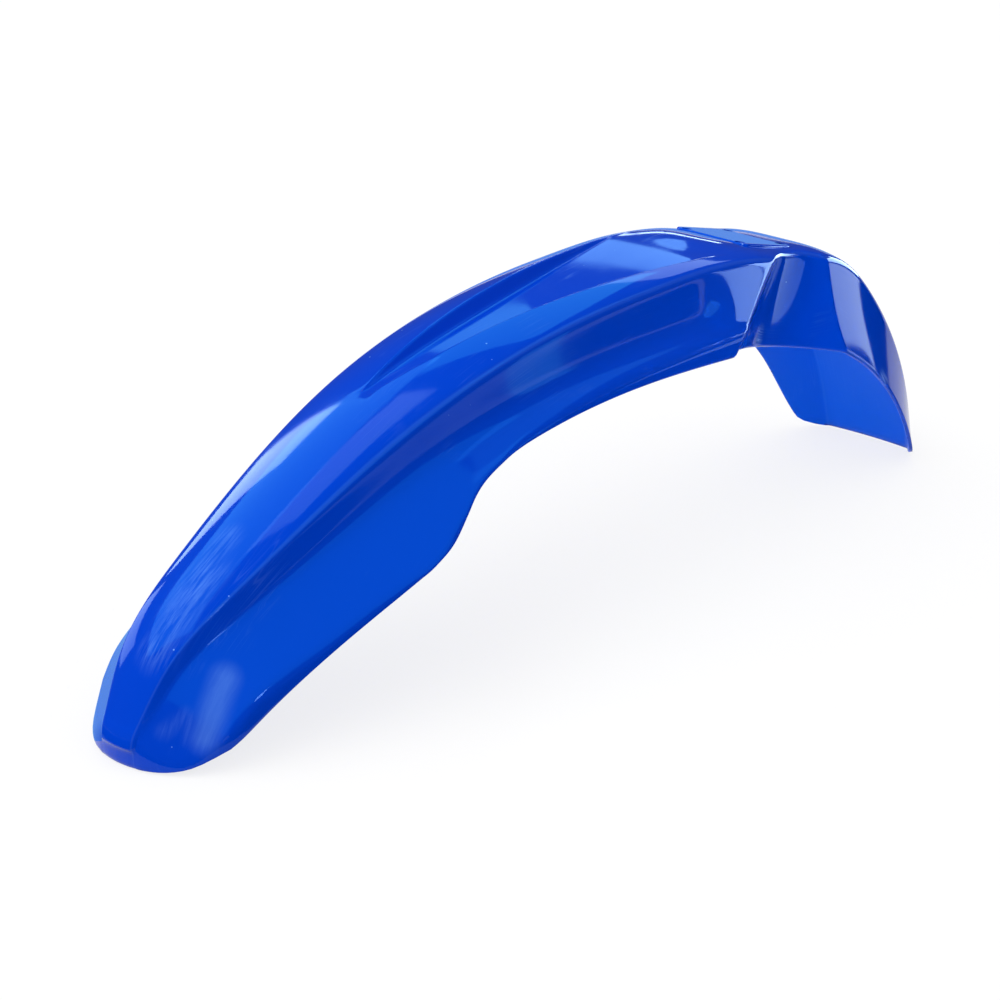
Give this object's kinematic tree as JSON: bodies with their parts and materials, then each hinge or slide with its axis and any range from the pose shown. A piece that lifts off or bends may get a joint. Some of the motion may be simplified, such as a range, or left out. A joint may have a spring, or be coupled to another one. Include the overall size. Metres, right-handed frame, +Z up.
{
  "type": "motorcycle front mudguard",
  "caption": "Long arched shell that covers a motorcycle front wheel: raised centre panel with a sunk wedge, side skirts, waisted fork pockets, a bolted clamp pad and a turned-down tail",
  "frame": {"origin": "centre of the four clamp bolts, on the top face of the clamp pad", "axes": "+X towards the nose, +Y to the rider's left, +Z up, with the mudguard resting on its nose rim and the end of its tail"},
  "size_m": [0.7049, 0.1603, 0.1992],
  "materials": {
    "gloss_shell": "high gloss moulded plastic, satin inside"
  },
  "bodies": {
    "root": {"mudguard_shell": "gloss_shell"}
  },
  "joints": []
}
